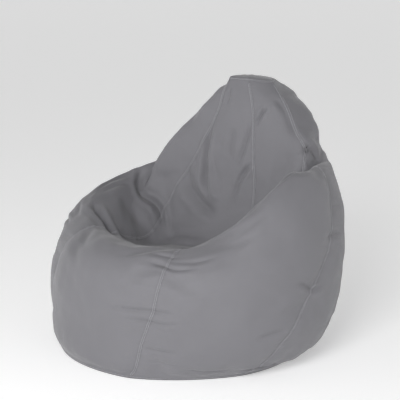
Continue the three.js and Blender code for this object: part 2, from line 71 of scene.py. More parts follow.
# The zip lies on an arc about the axis that its slider turns round.
JOINTS = {j["name"]: j for j in frame["record"]["behaviour"]["joints"]}
ZIP_AXIS = np.array(JOINTS["zip_run"]["pos_m"])
ZIP_RADIUS = 0.8
ZIP_FROM, ZIP_TO = 1.5, 5.5
ZIP_LEAD_IN, ZIP_LEAD_OUT = 0.06, 0.1  # in t: how far the seam takes to open below, and to close above
ZIP_HALF_WINDOW = 5.5 * MM
ZIP_BED = 20.5 * MM
ZIP_BED_EDGE = 10 * MM
ZIP_BED_FADE = 110 * MM
ZIP_BED_SPAN = (0.4, 1.1), (6.05, 7.2)  # in t: where the bed eases in and out
ZIP_STITCH_ROWS = (3 * MM, 7.5 * MM)  # from the window's edge

# Where the two seam bands start and end, in t.
BASE_BAND = (0.03, 0.23)
CAP_BAND = (13.88, 13.98)
FELL_FROM, FELL_TO = BASE_BAND[1] + 0.04, CAP_BAND[0] - 0.03

# Rings of the bag. Left and right half width, y of the widest place, y front and back, then the height at
# the front, left, right and back, all in millimetres.
RINGS = MM * np.array([
    [460, 348, 0, -398, 330, 2, 2, 2, 2],  # base edge
    [474, 405, 0, -405, 392, 40, 40, 45, 50],  # foot
    [502, 452, 0, -412, 440, 125, 125, 130, 140],  # low belly
    [520, 465, 20, -415, 470, 230, 230, 250, 250],  # belly
    [510, 465, 40, -400, 475, 320, 325, 380, 360],  # high belly
    [492, 440, 70, -360, 470, 375, 412, 510, 460],  # shoulder
    [447, 400, 100, -290, 465, 400, 490, 602, 550],  # rim
    [397, 365, 130, -200, 460, 370, 493, 618, 610],  # inside of the rim
    [364, 342, 150, -100, 460, 320, 462, 596, 655],  # slope into the hollow
    [340, 322, 165, 20, 455, 300, 448, 575, 690],  # hollow
    [326, 314, 172, 120, 450, 350, 500, 605, 725],  # root of the backrest
    [292, 304, 186, 165, 445, 480, 575, 662, 755],  # low backrest
    [226, 258, 210, 185, 440, 620, 660, 710, 795],  # middle of the backrest
    [126, 190, 258, 210, 420, 770, 780, 790, 825],  # high backrest
    [65, 100, 310, 240, 380, 872, 868, 862, 862],  # cap edge
])
TOP = len(RINGS) - 1
# How much fuller each ring's front is on its left than on its right, then how far each ring is drawn
# straight between its seams, with 1 for six straight sides.
SKEW = np.array([0.2, 0.17, 0.1, 0.05] + [0] * (TOP - 3))
HEXAGON = np.array([0.12, 0] + [0] * (TOP - 3) + [0.25, 1])

# Turn of the seams round the bag at each ring, degrees.
SEAM_TURN = [2, 4, 10, 16, 20, 23, 24, 24, 22, 20, 18, 18, 18, 18, 18]
FRONT_TURN = [5, 8, 11, 16, 18, 19, 20, 20, 21, 21, 21, 22, 22, 24, 22]
RIGHT_TURN = [-2, 1, 9, 20, 32, 37, 36, 32, 26, 21, 19, 18, 18, 19, 20]
LEFT_TURN = [2, 4, 10, 16, 20, 23, 24, 24, 20, 14, 10, 16, 26, 29, 20]
REAR_LEFT_TURN = [2, 4, 10, 16, 20, 22, 19, 14, 9, 6, 6, 9, 13, 16, 18]
REAR_TURN = [0, 0, 0, 0, 0, 0, 0, 0, 2, 5, 9, 13, 16, 18, 18]
TURNS = [FRONT_TURN, RIGHT_TURN, SEAM_TURN, REAR_TURN, REAR_LEFT_TURN, LEFT_TURN]
SEAM_NAMES = ["front", "front_right", "rear_right", "rear", "rear_left", "front_left"]
GORE_NAMES = ["front_right", "right", "rear_right", "rear_left", "left", "front_left"]
GORES = 6
REAR = 3


def smooth(x, a, b):
    f = np.clip((x - a) / (b - a), 0, 1)
    return f * f * (3 - 2 * f)


def between(x, rise, fall):
    """Eased from 0 up to 1 over the range `rise`, and down to 0 over the range `fall`."""
    return smooth(x, *rise) * (1 - smooth(x, *fall))


def unit(v):
    return v / np.maximum(np.linalg.norm(v, axis=-1, keepdims=True), 1e-12)


# ---------------------------------------- the bag's plain shape
# Degrees from the front over which the height passes to the right side's, the left side's and the back's.
TO_RIGHT, TO_LEFT, TO_BACK = (20, 74), (30, 85), (75, 150)


def ring_point(i, a):
    """A point of ring i at turn a: quarter ellipses in plan, with heights eased between the four sides."""
    left, right, middle, front, back, z_front, z_left, z_right, z_back = np.moveaxis(RINGS[i], -1, 0)
    c, s = np.cos(a), np.sin(a)
    away = np.degrees(np.arccos(np.clip(c, -1, 1)))
    to_side = np.where(s > 0, smooth(away, *TO_RIGHT), smooth(away, *TO_LEFT))
    z_side = np.where(s > 0, z_right, z_left)
    x = np.where(s > 0, right, left) * s
    y = np.where(c > 0, middle + (front - middle) * c * (1 - SKEW[i] * s), middle - (back - middle) * c)
    z = z_front + (z_side - z_front) * to_side + (z_back - z_side) * smooth(away, *TO_BACK)
    return np.stack([x, y, z], -1)


def bag_point(a, t):
    """A Catmull-Rom curve through the rings, at each turn a."""
    i = np.clip(np.floor(t).astype(int), 0, TOP - 1)
    f = (t - i)[..., None]
    p1, p2 = ring_point(i, a), ring_point(i + 1, a)
    p0 = np.where((i > 0)[..., None], ring_point(np.maximum(i - 1, 0), a), 2 * p1 - p2)
    p3 = np.where((i + 2 <= TOP)[..., None], ring_point(np.minimum(i + 2, TOP), a), 2 * p2 - p1)
    cubic = (2 * p0 - 5 * p1 + 4 * p2 - p3) * f**2 + (3 * p1 - p0 - 3 * p2 + p3) * f**3
    return 0.5 * (2 * p1 + (p2 - p0) * f + cubic)


def zip_bed(p, a, t):
    """1 on the strip that lies flat under the zip, fading to 0 round it."""
    along = between(t, *ZIP_BED_SPAN)
    across = 1 - smooth(np.abs(p[..., 0]), ZIP_BED + ZIP_BED_EDGE, ZIP_BED + ZIP_BED_FADE)
    return along * across * (np.cos(a) < 0)


def skin(a, t):
    """The bag's plain surface, drawn onto the zip's arc on the strip under the zip."""
    p = bag_point(a, t)
    dz = np.clip(p[..., 2] - ZIP_AXIS[2], -0.6 * ZIP_RADIUS, 0.6 * ZIP_RADIUS)
    on_arc = ZIP_AXIS[1] + np.sqrt(ZIP_RADIUS**2 - dz**2)
    p[..., 1] += (on_arc - p[..., 1]) * zip_bed(p, a, t)
    return p


def seam_angle(k, t):
    """The turn of seam k at t; numbers past the last seam carry on round the bag."""
    turn = np.interp(t, np.arange(TOP + 1), TURNS[k % GORES])
    return np.radians(60 * k + turn)


def gore_point(k, a, t):
    """The skin, pressed towards the chord between its two seams near the cap and the base."""
    a0, a1 = seam_angle(k, t), seam_angle(k + 1, t)
    share = ((a - a0) / (a1 - a0))[..., None]
    chord = skin(a0, t) * (1 - share) + skin(a1, t) * share
    w = np.interp(t, np.arange(TOP + 1), HEXAGON)[..., None]
    return skin(a, t) * (1 - w) + chord * w


def skin_normal(a, t, turn=0.05, row=0.25):
    across = skin(a + turn, t) - skin(a - turn, t)
    up = skin(a, np.minimum(t + row, TOP)) - skin(a, np.maximum(t - row, 0))
    return unit(np.cross(across, up))


def metres_per_radian(a, t):
    h = 0.01
    return np.linalg.norm(skin(a + h, t) - skin(a - h, t), axis=-1) / (2 * h)


# Distance up the bag at each t, along each seam, and evenly spaced rows from it.
FINE_T = np.linspace(0, TOP, 1401)


def climb(a_of_t):
    p = skin(a_of_t, FINE_T)
    return np.concatenate([[0], np.cumsum(np.linalg.norm(np.diff(p, axis=0), axis=1))])


SEAM_CLIMB = [climb(seam_angle(k, FINE_T)) for k in range(GORES)]
MEAN_CLIMB = np.mean(SEAM_CLIMB, axis=0)


def even_rows(n):
    return np.interp(np.linspace(0, MEAN_CLIMB[-1], n), MEAN_CLIMB, FINE_T)


def even_columns(k, t, columns):
    """The turns of a gore's columns, evenly spaced from its first seam and short of its second."""
    a0, a1 = seam_angle(k, t), seam_angle(k + 1, t)
    return [a0 + (a1 - a0) * j / columns for j in range(columns)]


# ---------------------------------------- grids and faces
def grid_faces(rows, columns, closed=False, start=0):
    i, j = np.meshgrid(np.arange(rows - 1), np.arange(columns if closed else columns - 1), indexing="ij")
    k = (j + 1) % columns
    quads = np.stack([i * columns + j, i * columns + k, (i + 1) * columns + k, (i + 1) * columns + j], -1)
    return quads.reshape(-1, 4) + start


def fan(row, columns, tip, flip=False):
    """Triangles from a closed row of points, whose first is `row`, to one point."""
    j = np.arange(columns)
    k = (j + 1) % columns
    if flip:
        j, k = k, j
    tips = np.full(columns, tip)
    return np.stack([row + j, row + k, tips, tips], -1)


# ---------------------------------------- cloth simulation
SIM_COLUMNS = 24  # in each gore
SIM_ROWS = 150
SIM_FRAMES = 20
SIM_CAP = 9 * MM
SEAM_HOLD = 0.9  # how firmly the seams are held, with 1 for not moving at all
SEAM_HOLD_WIDTH = 0.7  # columns
BASE_HELD, CAP_HELD = (0.2, 0.7), (13.5, 13.8)  # in t: where the hold on the base and the cap eases
SEAT_PRESSURE = 0.2  # share of the full pressure, from the rim to the backrest's root
SEAT_SPAN = (5.6, 6.4), (10.4, 11.4)


def sim_grid():
    t = even_rows(SIM_ROWS)
    columns = [gore_point(k, a, t) for k in range(GORES) for a in even_columns(k, t, SIM_COLUMNS)]
    return t, np.stack(columns, 1)


def simulate():
    """Blows the cover up a little between its seams and returns how far each grid point moved."""
    t, grid = sim_grid()
    rows, columns = grid.shape[:2]
    points = np.concatenate([grid.reshape(-1, 3), grid[[0, -1]].mean(1)])
    under, over = rows * columns, rows * columns + 1
    last = (rows - 1) * columns
    faces = grid_faces(rows, columns, closed=True).tolist()
    for j in range(columns):
        k = (j + 1) % columns
        faces += [(under, k, j), (over, last + j, last + k)]
    mesh = bpy.data.meshes.new("sim")
    mesh.from_pydata(points.tolist(), [], faces)
    bag = bpy.data.objects.new("sim", mesh)
    bpy.context.scene.collection.objects.link(bag)

    from_seam = np.abs((np.arange(columns) + SIM_COLUMNS / 2) % SIM_COLUMNS - SIM_COLUMNS / 2)
    hold = np.broadcast_to(SEAM_HOLD * np.exp(-((from_seam / SEAM_HOLD_WIDTH) ** 2)), (rows, columns)).copy()
    ends = np.maximum(1 - smooth(t, *BASE_HELD), smooth(t, *CAP_HELD))[:, None]
    angles = np.arctan2(grid[..., 0], -grid[..., 1])
    bed = zip_bed(grid, angles, t[:, None])
    hold = np.clip(np.maximum(np.maximum(hold, ends), bed), 0, 1)
    firm = 1 - (1 - SEAT_PRESSURE) * between(t, *SEAT_SPAN)
    pin = bag.vertex_groups.new(name="pin")
    press = bag.vertex_groups.new(name="press")
    for i, w in enumerate(hold.reshape(-1)):
        pin.add([i], float(w), "REPLACE")
        press.add([i], float(firm[i // columns]), "REPLACE")
    pin.add([under, over], 1.0, "REPLACE")

    cloth = bag.modifiers.new("cloth", "CLOTH")
    s = cloth.settings
    s.quality = 5
    s.mass = 0.25
    s.tension_stiffness = s.compression_stiffness = 30
    s.shear_stiffness = 12
    s.bending_stiffness = 0.6
    s.air_damping = 1.5
    s.use_pressure = True
    s.uniform_pressure_force = 3
    s.vertex_group_pressure = "press"
    s.vertex_group_mass = "pin"
    s.pin_stiffness = 1
    s.shrink_min = -0.03
    s.effector_weights.gravity = 0
    cloth.collision_settings.use_collision = False
    cloth.point_cache.frame_start, cloth.point_cache.frame_end = 1, SIM_FRAMES
    for f in range(1, SIM_FRAMES + 1):
        bpy.context.scene.frame_set(f)
    shown = bag.evaluated_get(bpy.context.evaluated_depsgraph_get())
    moved = np.empty(len(points) * 3, np.float32)
    shown.data.vertices.foreach_get("co", moved)
    bpy.context.scene.frame_set(1)
    bpy.data.objects.remove(bag)
    move = moved.reshape(-1, 3)[:-2].reshape(rows, columns, 3) - grid
    far = np.linalg.norm(move, axis=-1, keepdims=True)
    move *= np.minimum(1, SIM_CAP / np.maximum(far, 1e-9))
    for _ in range(2):
        beside = np.roll(move, 1, 1) + np.roll(move, -1, 1)
        move[1:-1] = 0.5 * move[1:-1] + 0.125 * (beside[1:-1] + move[2:] + move[:-2])
    return t, move


SIM_T, SIM_MOVE = simulate()


def cubic_weights(f):
    """Shares of four neighbouring values at f between the middle two."""
    return [
        -0.5 * f + f**2 - 0.5 * f**3, 1 - 2.5 * f**2 + 1.5 * f**3,
        0.5 * f + 2 * f**2 - 1.5 * f**3, -0.5 * f**2 + 0.5 * f**3]


def cloth_move(k, a, t):
    """The simulated move at any point of gore k, between the grid's points."""
    a0, a1 = seam_angle(k, t), seam_angle(k + 1, t)
    column = ((k % GORES) + (a - a0) / (a1 - a0)) * SIM_COLUMNS
    row = np.interp(t, SIM_T, np.arange(SIM_ROWS))
    i, j = np.floor(row).astype(int), np.floor(column).astype(int)
    down, over = cubic_weights(row - i), cubic_weights(column - j)
    total = 0
    for m in range(4):
        r = np.clip(i + m - 1, 0, SIM_ROWS - 1)
        for n in range(4):
            c = (j + n - 1) % (GORES * SIM_COLUMNS)
            total = total + SIM_MOVE[r, c] * (down[m] * over[n])[..., None]
    return total


# ---------------------------------------- folds, puckers and lumps
# Each fold: the (turn in degrees, t) points that it runs through, then its depth and half width in mm.
# A negative depth is a ridge.
FOLDS = [
    # across the front seam, where the rim turns over
    ([(11, 4.93), (17, 4.84), (23, 4.62), (31, 4.6)], 6, 7),
    ([(24, 5.05), (30, 4.86), (37, 4.85)], 4, 7),
    ([(8, 5.3), (16, 5.35), (25, 5.25)], 3.5, 7),
    # across the front seam lower down: a pair close together
    ([(-4, 3.02), (8, 3.02), (18, 3.06), (25, 3.0)], 4.5, 6),
    ([(2, 2.74), (11, 2.74), (20, 2.7), (27, 2.76)], 4.5, 6),
    ([(11, 1.78), (18, 1.86), (26, 1.82)], 4, 6),
    ([(12, 1.32), (20, 1.4), (28, 1.36)], 2.5, 6),
    ([(28, 1.02), (38, 0.98), (48, 1.02)], 5, 7),
    ([(50, 0.98), (60, 0.86), (70, 0.7), (80, 0.5)], 11, 9),
    # left end of the front panel
    ([(-66, 4.75), (-60, 4.9), (-52, 5.02)], 7, 8),
    ([(-68, 3.6), (-60, 3.75), (-50, 3.72)], 4, 13),
    ([(-66, 5.4), (-62, 5.5), (-54, 5.55)], 4, 8),
    ([(-72, 0.75), (-62, 1.0), (-52, 0.95), (-38, 0.9)], 9, 12),
    # beside the front right seam and out to the right edge
    ([(55, 2.2), (62, 2.3), (69, 2.36)], 5, 7),
    ([(70, 3.5), (77, 3.36), (83, 3.16), (90, 3.24)], 7, 8),
    ([(88, 4.3), (95, 4.33), (104, 4.27)], 6, 9),
    # backrest, left of the front seam: a long soft fold down the left panel, with a hollow beside it
    ([(-22, 13.72), (-18, 13.4), (-14, 13.05)], 8, 7),
    ([(-30, 12.7), (-27, 12.2), (-22, 11.7), (-18, 11.2), (-8, 10.75)], 20, 11),
    ([(-40, 11.6), (-33, 11.15), (-25, 10.9), (-10, 10.6), (-2, 10.6)], 20, 22),
    ([(-24, 12.1), (-15, 11.5), (-9, 11.0), (0, 10.8)], -8, 11),
    ([(3, 12.6), (1, 12.2), (2, 11.8)], 6, 13),
    # close beside the front seam, slanting down to the left
    ([(20, 12.75), (17, 12.4), (12, 12.0), (8, 11.6)], 8, 8),
    ([(21, 11.85), (16, 11.65), (11, 11.4), (8, 11.05), (7, 10.6)], 12, 8),
    # right of the front seam
    ([(42, 13.05), (34, 12.85), (25, 12.6)], 9, 7),
    ([(62, 13.4), (66, 12.9), (68, 12.2), (68, 11.5)], 9, 10),
    ([(70, 11.25), (84, 10.9), (98, 10.3), (107, 8.2)], 12, 14),
    # where the left arm meets the back
    ([(-105, 6.4), (-92, 7.9), (-70, 9.3), (-54, 9.85), (-40, 9.5)], 20, 12),
    ([(-50, 10.2), (-44, 9.95), (-36, 9.6)], -7, 8),
    ([(-38, 9.4), (-28, 9.7), (-15, 9.8), (0, 9.8)], 7, 13),
    # pocket behind the left end of the rim
    ([(-60, 6.2), (-50, 6.5), (-40, 6.75), (-26, 6.8)], 26, 14),
    # the left arm: flatter along its top, fuller at its front corner
    ([(-58, 5.6), (-70, 5.9), (-80, 6.2), (-90, 6.4), (-102, 6.7)], 15, 48),
    ([(-76, 5.3), (-69, 5.45), (-63, 4.97), (-55, 4.7)], -6, 26),
    # the backrest's left and right edges are fuller near the top
    ([(-62, 13.9), (-62, 13.5), (-66, 12.9), (-68, 12.4)], -20, 32),
    ([(122, 13.8), (130, 13.5), (134, 13.0), (136, 12.5)], -8, 44),
    # just behind the rim: round the front, and up the right arm
    ([(-30, 6.7), (-12, 6.5), (5, 6.3), (22, 6.1), (34, 5.95)], 6, 10),
    ([(38, 6.1), (48, 6.25), (58, 6.5), (67, 6.75), (78, 7.3), (90, 8.2)], 9, 11),
    ([(-68, 6.4), (-79, 6.95), (-86, 7.7)], 7, 13),
    # back and sides
    ([(150, 7.6), (168, 7.2), (190, 7.3), (206, 7.7)], 9, 14),
    ([(205, 10.4), (214, 9.3), (222, 8.3)], 9, 13),
    ([(140, 10.6), (150, 9.6), (155, 8.5)], 10, 14),
    ([(228, 6.6), (236, 5.6), (238, 4.6)], 8, 12),
    ([(118, 5.6), (128, 4.9), (133, 4.0)], 9, 13),
    ([(150, 1.0), (165, 1.15), (178, 0.95)], 6, 10),
    ([(183, 0.9), (200, 1.15), (214, 1.0)], 6, 10),
    ([(218, 1.3), (230, 1.15), (244, 0.9)], 8, 12),
    ([(100, 1.0), (116, 1.2), (132, 1.1)], 8, 12),
    ([(238, 12.4), (226, 11.6), (216, 11.2)], 7, 10),
    ([(176, 12.6), (186, 12.1), (196, 12.3)], 6, 10),
    ([(262, 3.0), (270, 2.5), (282, 2.4)], 6, 10),
    ([(96, 2.1), (106, 1.9), (118, 2.1)], 5, 9),
    ([(206, 4.6), (218, 4.3), (230, 4.4)], 5, 10),
    ([(136, 2.9), (148, 2.7), (158, 2.9)], 5, 10),
    ([(255, 4.9), (266, 4.4), (276, 4.5)], 6, 10),
]
FOLD_STEPS = 30
FOLD_REACH = 4  # in half widths
FOLD_FADE = 0.3  # share of its length over which a fold dies away at each end
VALLEY_FALL, VALLEY_POWER = 1.2, 1.15
LIP_HEIGHT, LIP_AT, LIP_WIDTH = 0.3, 1.9, 0.9  # share of the depth, then in half widths
MOST_FOLD = 28 * MM
FULL_MARK_DEPTH = 10 * MM  # folds this deep or deeper are marked in full


def fold_line(points):
    """The fold as a smooth run of points on the skin."""
    turns, ts = np.radians([p[0] for p in points]), np.array([p[1] for p in points], float)
    at = np.linspace(0, len(points) - 1, FOLD_STEPS)
    i = np.clip(at.astype(int), 0, len(points) - 2)
    f = at - i
    run = []
    for values in (turns, ts):
        v = np.concatenate([[2 * values[0] - values[1]], values, [2 * values[-1] - values[-2]]])
        run.append(sum(w * v[i + m] for m, w in enumerate(cubic_weights(f))))
    return skin(*run)


FOLD_LINES = [(fold_line(points), depth * MM, width * MM) for points, depth, width in FOLDS]


def fold_height(p):
    """Height that the folds give at points p, and how deep in a fold each point lies, from 0 to 1."""
    flat = p.reshape(-1, 3)
    height, depth_in = np.zeros(len(flat)), np.zeros(len(flat))
    for line, depth, width in FOLD_LINES:
        reach = FOLD_REACH * width
        box = np.all((flat > line.min(0) - reach) & (flat < line.max(0) + reach), axis=1)
        near = np.where(box)[0]
        if not len(near):
            continue
        q = flat[near]
        best, share = np.full(len(q), 9.0), np.zeros(len(q))
        for n in range(FOLD_STEPS - 1):
            along = line[n + 1] - line[n]
            f = np.clip(((q - line[n]) @ along) / (along @ along), 0, 1)
            d = np.linalg.norm(q - line[n] - f[:, None] * along, axis=1)
            closer = d < best
            best[closer] = d[closer]
            share[closer] = (n + f[closer]) / (FOLD_STEPS - 1)
        fade = smooth(share, 0, FOLD_FADE) * smooth(1 - share, 0, FOLD_FADE)
        valley = np.exp(-VALLEY_FALL * np.abs(best / width) ** VALLEY_POWER)
        lips = np.exp(-(((best - LIP_AT * width) / (LIP_WIDTH * width)) ** 2))
        height[near] += fade * depth * (LIP_HEIGHT * lips - valley)
        # how deep in a fold each point lies, which the cloth's material turns into painted shade
        depth_in[near] = np.maximum(depth_in[near], fade * valley * min(1, depth / FULL_MARK_DEPTH))
    height = MOST_FOLD * np.tanh(height / MOST_FOLD)
    return height.reshape(p.shape[:-1]), depth_in.reshape(p.shape[:-1])


def waves(p, wavelength, seed, count=28):
    """A smooth uneven height over space, about -1 to 1, with bumps about one wavelength apart."""
    draw = np.random.default_rng(seed)
    total = np.zeros(p.shape[:-1])
    for _ in range(count):
        direction = unit(draw.normal(size=3)) * draw.uniform(0.7, 1.3)
        total += np.sin(p @ direction * (2 * math.pi / wavelength) + draw.uniform(0, 2 * math.pi))
    return total * 1.6 / math.sqrt(count)


PUCKER_DEPTH = 1.1 * MM
PUCKER_PITCH = 21 * MM
PUCKER_REACH = 17 * MM
LONG_WAVE = (1.5 * MM, 0.16, 1)  # height, wavelength and seed
SHORT_WAVE = (0.4 * MM, 0.06, 2)
SEAM_MARK_REACH = 9 * MM
SEAM_VALLEYS = ((1.2 * MM, SEAM_MARK_REACH), (1.6 * MM, 34 * MM))  # depth and reach
BACKREST_HOLD = 0.85  # how much of the simulated move the backrest's upper part loses
BACKREST_RISE = (10.3, 11.8)
FREE_SPAN = (0.15, 0.8), (13.3, 13.85)  # in t: where the cover begins and ends to move off its plain shape


def puckers(k, t, distance, seed):
    """Small dents beside a seam, where the thread draws the cloth up."""
    v = np.interp(t, FINE_T, SEAM_CLIMB[k % GORES])
    drift = 1.6 * np.sin(v * 23 + seed) + 1.1 * np.sin(v * 51 + 2 * seed)
    strength = 0.55 + 0.45 * np.sin(v * 9.7 + 1.7 * seed) * np.sin(v * 17 + seed)
    dents = 0.5 + 0.5 * np.sin(2 * math.pi * v / PUCKER_PITCH + drift)
    return -PUCKER_DEPTH * strength * dents * np.exp(-((distance / PUCKER_REACH) ** 1.5))


def cover(k, a, t, fine=True):
    """A point of gore k of the finished cover, and its fold and seam marks."""
    p = gore_point(k, a, t)
    n = skin_normal(a, t)
    to_seams = [np.linalg.norm(p - skin(seam_angle(s, t), t), axis=-1) for s in (k, k + 1)]
    nearest = np.minimum(*to_seams)
    free = (1 - zip_bed(p, a, t)) * between(t, *FREE_SPAN)
    height, in_fold = fold_height(p)
    loose = 1 - BACKREST_HOLD * smooth(t, *BACKREST_RISE)
    for rise, wavelength, seed in (LONG_WAVE, SHORT_WAVE) if fine else (LONG_WAVE,):
        height = height + rise * waves(p, wavelength, seed)
    for depth, reach in SEAM_VALLEYS:
        height = height - depth * np.exp(-((nearest / reach) ** 2))
    if fine:
        height = height + puckers(k, t, to_seams[0], 1.0 + k) * (1 - (k % GORES == REAR))
        height = height + puckers(k + 1, t, to_seams[1], 1.0 + (k + 1) % GORES)
    move = cloth_move(k, a, t) * loose[..., None] + n * height[..., None]
    return p + free[..., None] * move, in_fold * free, np.exp(-((nearest / SEAM_MARK_REACH) ** 2))


# ---------------------------------------- meshes
def shell(outer, inner, closed=False):
    """Points and faces of a closed sheet between two grids, the first one facing out."""
    rows, columns = outer.shape[:2]
    count = rows * columns
    faces = [grid_faces(rows, columns, closed), grid_faces(rows, columns, closed, count)[:, ::-1]]
    j = np.arange(columns if closed else columns - 1)
    k = (j + 1) % columns
    top = (rows - 1) * columns
    faces.append(np.stack([count + j, count + k, k, j], -1))
    faces.append(np.stack([top + j, top + k, count + top + k, count + top + j], -1))
    if not closed:
        i = np.arange(rows - 1) * columns
        faces.append(np.stack([i, i + columns, count + i + columns, count + i], -1))
        i = i + columns - 1
        faces.append(np.stack([count + i, count + i + columns, i + columns, i], -1))
    return np.concatenate([outer.reshape(-1, 3), inner.reshape(-1, 3)]), np.concatenate(faces)


def add_piece(name, points, faces, material, replaces=(), marks=None, uv=None):
    """A mesh piece of quads and triangles (a triangle repeats its last corner)."""
    mesh = bpy.data.meshes.new(name)
    sizes = np.where(faces[:, 2] == faces[:, 3], 3, 4)
    loops = faces.reshape(-1)[(np.arange(4)[None] < sizes[:, None]).reshape(-1)]
    mesh.vertices.add(len(points))
    mesh.vertices.foreach_set("co", np.asarray(points, np.float32).reshape(-1))
    mesh.loops.add(len(loops))
    mesh.loops.foreach_set("vertex_index", loops.astype(np.int32))
    mesh.polygons.add(len(faces))
    starts = np.concatenate([[0], np.cumsum(sizes)[:-1]]).astype(np.int32)
    mesh.polygons.foreach_set("loop_start", starts)
    mesh.polygons.foreach_set("loop_total", sizes.astype(np.int32))
    mesh.update(calc_edges=True)
    mesh.validate()
    for label, values in (marks or {}).items():
        mesh.attributes.new(label, "FLOAT", "POINT").data.foreach_set("value", values.astype(np.float32))
    if uv is not None:
        layer = mesh.uv_layers.new(name="cloth")
        layer.data.foreach_set("uv", uv[loops].astype(np.float32).reshape(-1))
    mesh.shade_smooth()
    mesh.materials.append(material)
    piece = bpy.data.objects.new(name, mesh)
    bpy.context.scene.collection.objects.link(piece)
    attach(piece, "bag")
    if replaces:
        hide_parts(*replaces)
    return piece


# ---------------------------------------- materials
def node(tree, kind, **inputs):
    made = tree.nodes.new("ShaderNode" + kind)
    for key, value in inputs.items():
        if key[0].islower():
            setattr(made, key, value)
        else:
            made.inputs[key.replace("_", " ")].default_value = value
    return made


def maths(tree, operation, a, b=None, c=None):
    made = node(tree, "Math", operation=operation)
    for i, value in enumerate((a, b, c)):
        if value is None:
            continue
        if isinstance(value, (int, float)):
            made.inputs[i].default_value = value
        else:
            tree.links.new(value, made.inputs[i])
    return made.outputs[0]


def noise(tree, vector, scale, detail=3.0):
    made = node(tree, "TexNoise", Scale=scale, Detail=detail, Roughness=0.55)
    tree.links.new(vector, made.inputs["Vector"])
    return made.outputs["Fac"]


def new_material(name, colour, roughness, metallic=0.0):
    material = bpy.data.materials.new(name)
    material.use_nodes = True
    shader = material.node_tree.nodes["Principled BSDF"]
    shader.inputs["Base Color"].default_value = (*colour, 1)
    shader.inputs["Roughness"].default_value = roughness
    shader.inputs["Metallic"].default_value = metallic
    return material, material.node_tree, shader


def shade(tree, shader, colour, factor):
    """The colour, times a factor that varies over the surface."""
    made = node(tree, "VectorMath", operation="SCALE")
    made.inputs[0].default_value = colour
    tree.links.new(factor, made.inputs["Scale"])
    tree.links.new(made.outputs[0], shader.inputs["Base Color"])


def bump(tree, shader, height, distance, strength):
    made = node(tree, "Bump", Distance=distance, Strength=strength)
    tree.links.new(height, made.inputs["Height"])
    tree.links.new(made.outputs[0], shader.inputs["Normal"])


MOTTLE_SHARE = 1.6  # how much more the large mottling counts than the patches and the slubs
WEAVE_SHADE = 0.05
# how much darker the cloth is painted deep in folds, as painted shade, and near seams, as dirt
PAINTED_FOLD_SHADE, SEAM_DIRT = 0.13, 0.05


def woven(name, colour, pitch, roughness=0.7, sheen=0.18, uneven=0.07, on_uv=True, marks=True):
    """Plain weave: threads crossing at `pitch`, with slubs, soft mottling, painted shade deep in folds, and
    dirt along seams.
    """
    material, tree, shader = new_material(name, colour, roughness)
    place = node(tree, "TexCoord").outputs["Object"]
    cloth = node(tree, "UVMap", uv_map="cloth").outputs[0] if on_uv else place
    parts = node(tree, "SeparateXYZ")
    tree.links.new(cloth, parts.inputs[0])
    turns = 2 * math.pi / pitch
    first = parts.outputs[0]
    second = parts.outputs[1] if on_uv else parts.outputs[2]
    warp = maths(tree, "SINE", maths(tree, "MULTIPLY", first, turns))
    weft = maths(tree, "SINE", maths(tree, "MULTIPLY", second, turns))
    weave = maths(tree, "MULTIPLY", warp, weft)
    slubs = noise(tree, cloth, 0.35 / pitch, 2)
    mottle = noise(tree, place, 7, 4)
    patches = noise(tree, place, 28, 3)
    # mottling, patches and slubs run from 0 to 1, so half of their shares is taken off first
    shares = [(mottle, uneven * MOTTLE_SHARE), (patches, uneven), (slubs, uneven), (weave, WEAVE_SHADE)]
    tone = 1 - uneven * (MOTTLE_SHARE + 2) / 2
    for pattern, share in shares:
        tone = maths(tree, "MULTIPLY_ADD", pattern, share, tone)
    if marks:
        fold = node(tree, "Attribute", attribute_name="fold").outputs["Fac"]
        seam = node(tree, "Attribute", attribute_name="seam").outputs["Fac"]
        # painted shade: the cloth is darker where it lies deep in a fold
        tone = maths(tree, "MULTIPLY_ADD", fold, -PAINTED_FOLD_SHADE, tone)
        tone = maths(tree, "MULTIPLY_ADD", seam, -SEAM_DIRT, tone)
    shade(tree, shader, colour, tone)
    rough = maths(tree, "MULTIPLY_ADD", patches, 0.16, roughness - 0.08)
    tree.links.new(rough, shader.inputs["Roughness"])
    height = maths(tree, "MULTIPLY_ADD", slubs, 0.9, weave)
    bump(tree, shader, height, 0.12 * pitch, 0.5)
    shader.inputs["Sheen Weight"].default_value = sheen
    shader.inputs["Sheen Roughness"].default_value = 0.45
    shader.inputs["Specular IOR Level"].default_value = 0.38
    return material


def thread_material(name, colour):
    """Twisted polyester thread."""
    material, tree, shader = new_material(name, colour, 0.5)
    place = node(tree, "TexCoord").outputs["Object"]
    fibres = noise(tree, place, 2400, 2)
    shade(tree, shader, colour, maths(tree, "MULTIPLY_ADD", fibres, 0.3, 0.85))
    bump(tree, shader, fibres, 0.1 * MM, 0.4)
    shader.inputs["Sheen Weight"].default_value = 0.2
    return material


def bead_material(name, colour):
    """Foam beads about 4 mm across, pressed together, with painted shade in the gaps between them."""
    material, tree, shader = new_material(name, colour, 0.6)
    cells = node(tree, "TexVoronoi", Scale=260.0)
    tree.links.new(node(tree, "TexCoord").outputs["Object"], cells.inputs["Vector"])
    away = cells.outputs["Distance"]
    # painted shade: each bead darker towards its edge, in the gaps between beads
    tone = maths(tree, "MULTIPLY_ADD", away, -0.35, 1.05)
    shade(tree, shader, colour, tone)
    bump(tree, shader, maths(tree, "MULTIPLY", away, -1), 3 * MM, 1.0)
    return material


def metal_material(name, colour):
    """Plated zinc, a little worn."""
    material, tree, shader = new_material(name, colour, 0.32, 1.0)
    place = node(tree, "TexCoord").outputs["Object"]
    wear = noise(tree, place, 420, 4)
    tree.links.new(maths(tree, "MULTIPLY_ADD", wear, 0.3, 0.2), shader.inputs["Roughness"])
    shade(tree, shader, colour, maths(tree, "MULTIPLY_ADD", wear, 0.3, 0.85))
    bump(tree, shader, noise(tree, place, 1500, 2), 0.05 * MM, 0.4)
    return material


